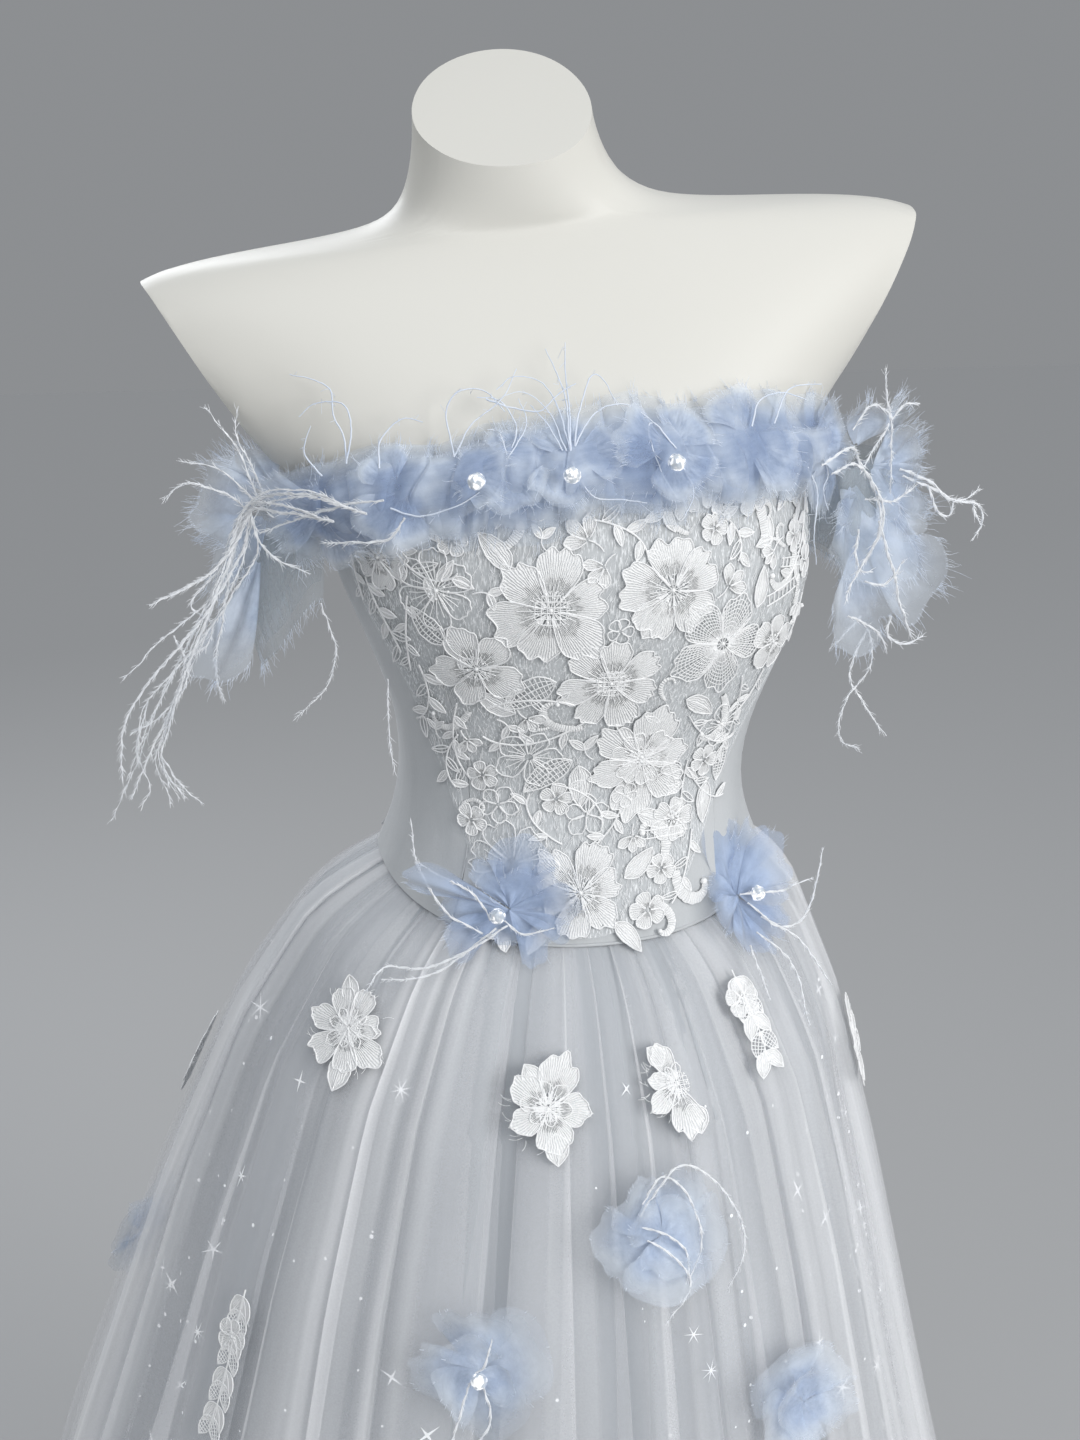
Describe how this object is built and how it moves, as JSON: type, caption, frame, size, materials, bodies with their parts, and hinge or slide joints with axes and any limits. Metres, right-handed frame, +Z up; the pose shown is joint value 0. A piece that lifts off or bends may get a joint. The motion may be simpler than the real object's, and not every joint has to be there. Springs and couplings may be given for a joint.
{
  "type": "a-line prom dress on a limbless dress form",
  "caption": "Floor-length gown with a fitted lace-front bodice, off-shoulder ruffle sleeves and a full gathered tulle skirt, worn by a smooth limbless dress form on a pole and round base.",
  "frame": {"origin": "centre of the underside of the dress form's round base plate", "axes": "+Z up, the dress's front faces -Y, +X is towards the wearer's left"},
  "size_m": [0.9101, 0.9334, 1.4921],
  "materials": {
    "bodice_satin": "grey-blue net over satin, fine vertical white threads, soft sheen",
    "lace_white": "white corded embroidery lace, matt with silky highlights",
    "tulle_blue": "pale blue translucent tulle with frayed edges",
    "tulle_grey": "pale grey translucent tulle with a blue cast",
    "spangled_tulle": "translucent tulle with white foil stars and dots",
    "lining_satin": "opaque pale grey-lilac lining, satin",
    "strand_white": "fine white loose strands, slightly fuzzy",
    "crystal": "clear cut crystal, polished facets",
    "zip_nickel": "nickel plated, lightly brushed",
    "form_white": "smooth warm-white satin shell",
    "stand_steel": "fine brushed steel"
  },
  "bodies": {
    "dress": {"bodice_front": "bodice_satin", "bodice_side_left": "bodice_satin", "bodice_side_right": "bodice_satin", "bodice_back_left": "bodice_satin", "bodice_back_right": "bodice_satin", "lace_panel": "lace_white", "lace_flower_1": "lace_white", "lace_flower_2": "lace_white", "lace_flower_3": "lace_white", "lace_flower_4": "lace_white", "lace_flower_5": "lace_white", "lace_flower_6": "lace_white", "lace_flower_7": "lace_white", "lace_flower_8": "lace_white", "lace_leaf_1": "lace_white", "lace_leaf_2": "lace_white", "ruffle_front": "tulle_blue", "ruffle_back_left": "tulle_blue", "ruffle_back_right": "tulle_blue", "sleeve_ruffle_left": "tulle_blue", "sleeve_ruffle_right": "tulle_blue", "waist_flower_left": "tulle_blue", "waist_flower_right": "tulle_blue", "skirt_flower_1": "tulle_blue", "skirt_flower_2": "tulle_blue", "skirt_flower_3": "tulle_blue", "skirt_flower_4": "tulle_blue", "skirt_flower_5": "tulle_blue", "skirt_flower_6": "tulle_blue", "sleeve_left": "tulle_grey", "sleeve_right": "tulle_grey", "skirt_plain_tulle": "tulle_grey", "skirt_spangled_tulle": "spangled_tulle", "skirt_lining": "lining_satin", "strands_left": "strand_white", "strands_left_outer": "strand_white", "strands_right": "strand_white", "crystal_right": "crystal", "crystal_centre": "crystal", "crystal_left": "crystal", "crystal_waist_flower_right": "crystal", "crystal_waist_flower_left": "crystal", "crystal_skirt_flower_2": "crystal", "zip_chain": "zip_nickel", "zip_slider": "zip_nickel", "form_torso": "form_white", "form_base": "stand_steel", "form_pole": "stand_steel"},
    "pull": {"zip_pull": "zip_nickel"}
  },
  "joints": [
    {"name": "zip_pull_swing", "type": "hinge", "parent": "dress", "child": "pull", "pos_m": [-0.00954, 0.09526, 1.24915], "axis": [1, 0, 0], "range_deg": [0, 170]}
  ]
}
